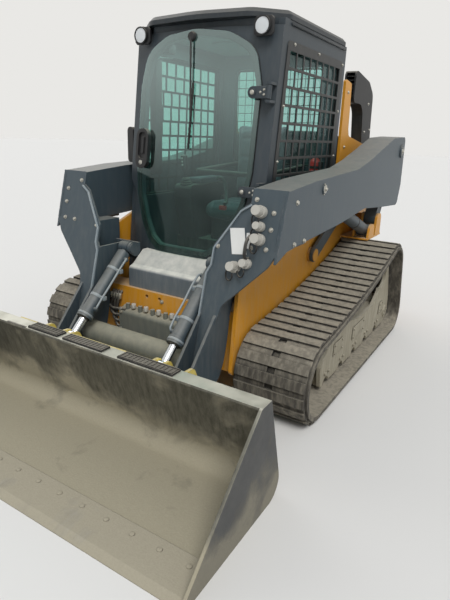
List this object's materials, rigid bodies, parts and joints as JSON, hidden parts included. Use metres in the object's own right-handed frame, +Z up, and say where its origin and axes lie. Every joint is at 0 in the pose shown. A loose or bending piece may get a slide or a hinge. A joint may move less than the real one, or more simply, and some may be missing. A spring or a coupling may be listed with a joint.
{
  "type": "compact track loader with vertical-lift arms",
  "caption": "Compact track loader on rubber tracks with a closed glass-door cab, vertical-lift arms and a low, wide bucket on a quick coupler.",
  "frame": {"origin": "ground level under the middle of the machine's bounding box", "axes": "-Y is the front, +X is the machine's left, +Z is up"},
  "size_m": [2.134, 3.78, 2.1833],
  "materials": {
    "yellow_paint": "satin",
    "dark_paint": "satin",
    "black_paint": "satin",
    "worn_steel": "worn",
    "chrome_rod": "polished",
    "black_rubber": "matte",
    "track_rubber": "dusty",
    "tinted_glass": "tinted",
    "black_plastic": "matte",
    "seat_vinyl": "satin",
    "mesh_paint": "satin",
    "bucket_steel": "worn",
    "lamp_glass": "clear",
    "tail_lens": "gloss",
    "cast_hub": "cast"
  },
  "bodies": {
    "chassis": {"track_left": "track_rubber", "track_right": "track_rubber", "front_idlers": "cast_hub", "rear_idlers": "cast_hub", "sprockets": "cast_hub", "drive_motors": "cast_hub", "track_rollers": "cast_hub", "track_frame_left": "dark_paint", "track_frame_right": "dark_paint", "frame_side_left": "yellow_paint", "frame_side_right": "yellow_paint", "frame_cross": "yellow_paint", "front_step": "dark_paint", "manifold_cover": "black_paint", "rear_bumper": "black_paint", "tail_lamps": "tail_lens", "engine_block": "cast_hub", "cooling_pack": "black_paint", "cowl": "dark_paint", "rear_hinges": "black_paint", "engine_panels": "yellow_paint", "exhaust_duct": "black_plastic", "cab_frame": "dark_paint", "cab_roof": "dark_paint", "side_screens": "mesh_paint", "side_glass": "tinted_glass", "rear_glass": "tinted_glass", "cab_floor": "black_paint", "foot_rests": "black_paint", "seat_base": "black_plastic", "seat_cushion": "seat_vinyl", "seat_back": "seat_vinyl", "consoles": "black_plastic", "joysticks": "black_plastic", "lap_bar": "black_rubber", "work_lamps": "lamp_glass", "side_mirror": "black_plastic", "hinge_posts": "black_paint"},
    "rear_links": {"rear_links": "dark_paint"},
    "boom": {"arm_left": "dark_paint", "arm_right": "dark_paint", "aux_couplers": "worn_steel", "cross_tube": "dark_paint"},
    "control_links": {"control_links": "dark_paint"},
    "lift_barrels": {"lift_barrels": "black_paint"},
    "lift_rods": {"lift_rods": "chrome_rod"},
    "bucket": {"coupler": "yellow_paint", "bucket_shell": "bucket_steel", "cutting_edge": "worn_steel", "bucket_pads": "black_rubber"},
    "tilt_barrels": {"tilt_barrels": "black_paint"},
    "tilt_rods": {"tilt_rods": "chrome_rod"},
    "cab_door": {"door_glass": "tinted_glass", "door_seal": "black_rubber", "door_hinges": "black_paint", "door_handle": "black_plastic"},
    "rear_door": {"rear_door": "yellow_paint", "rear_grille": "black_paint"},
    "hood": {"hood": "dark_paint"}
  },
  "joints": [
    {"name": "rear_link_hinge", "type": "hinge", "parent": "chassis", "child": "rear_links", "pos_m": [0, 1.162, 0.931], "axis": [1, 0, 0], "range_deg": [0, 18.37]},
    {"name": "lift", "type": "hinge", "parent": "rear_links", "child": "boom", "pos_m": [0, 1.506, 1.458], "axis": [-1, 0, 0], "range_deg": [0, 82.18]},
    {"name": "control_link_hinge", "type": "hinge", "parent": "chassis", "child": "control_links", "pos_m": [0, 0.289, 0.769], "axis": [1, 0, 0], "range_deg": [0, 17.32]},
    {"name": "lift_barrel_hinge", "type": "hinge", "parent": "chassis", "child": "lift_barrels", "pos_m": [0, 0.989, 0.864], "axis": [-1, 0, 0], "range_deg": [0, 55.67]},
    {"name": "lift_rod_slide", "type": "slide", "parent": "lift_barrels", "child": "lift_rods", "axis": [0, -0.9465, 0.3227], "range_m": [0, 0.94719]},
    {"name": "bucket_tilt", "type": "hinge", "parent": "boom", "child": "bucket", "pos_m": [0, -1.055, 0.25], "axis": [1, 0, 0], "range_deg": [-25, 100]},
    {"name": "tilt_barrel_hinge", "type": "hinge", "parent": "boom", "child": "tilt_barrels", "pos_m": [0, -0.598, 0.838], "axis": [1, 0, 0], "range_deg": [-0.46, 1.81]},
    {"name": "tilt_rod_slide", "type": "slide", "parent": "tilt_barrels", "child": "tilt_rods", "axis": [0, -0.7336, -0.6795], "range_m": [-0.0506, 0.2021]},
    {"name": "cab_door_hinge", "type": "hinge", "parent": "chassis", "child": "cab_door", "pos_m": [0.484, -0.39335, 1.5], "axis": [0, 0.1195, 0.9928], "range_deg": [0, 65]},
    {"name": "rear_door_hinge", "type": "hinge", "parent": "chassis", "child": "rear_door", "pos_m": [-0.512, 1.836, 1], "axis": [0, 0, 1], "range_deg": [0, 100]},
    {"name": "hood_hinge", "type": "hinge", "parent": "chassis", "child": "hood", "pos_m": [0, 0.912, 1.572], "axis": [1, 0, 0], "range_deg": [0, 60]}
  ],
  "couplings": [
    {"joint": "rear_link_hinge", "follows": "lift", "ratio": 0.22347},
    {"joint": "control_link_hinge", "follows": "lift", "ratio": 0.21081},
    {"joint": "lift_barrel_hinge", "follows": "lift", "ratio": 0.67733},
    {"joint": "lift_rod_slide", "follows": "lift", "m_per_rad": 0.66035},
    {"joint": "tilt_barrel_hinge", "follows": "bucket_tilt", "ratio": 0.018},
    {"joint": "tilt_rod_slide", "follows": "bucket_tilt", "m_per_rad": 0.11575}
  ]
}
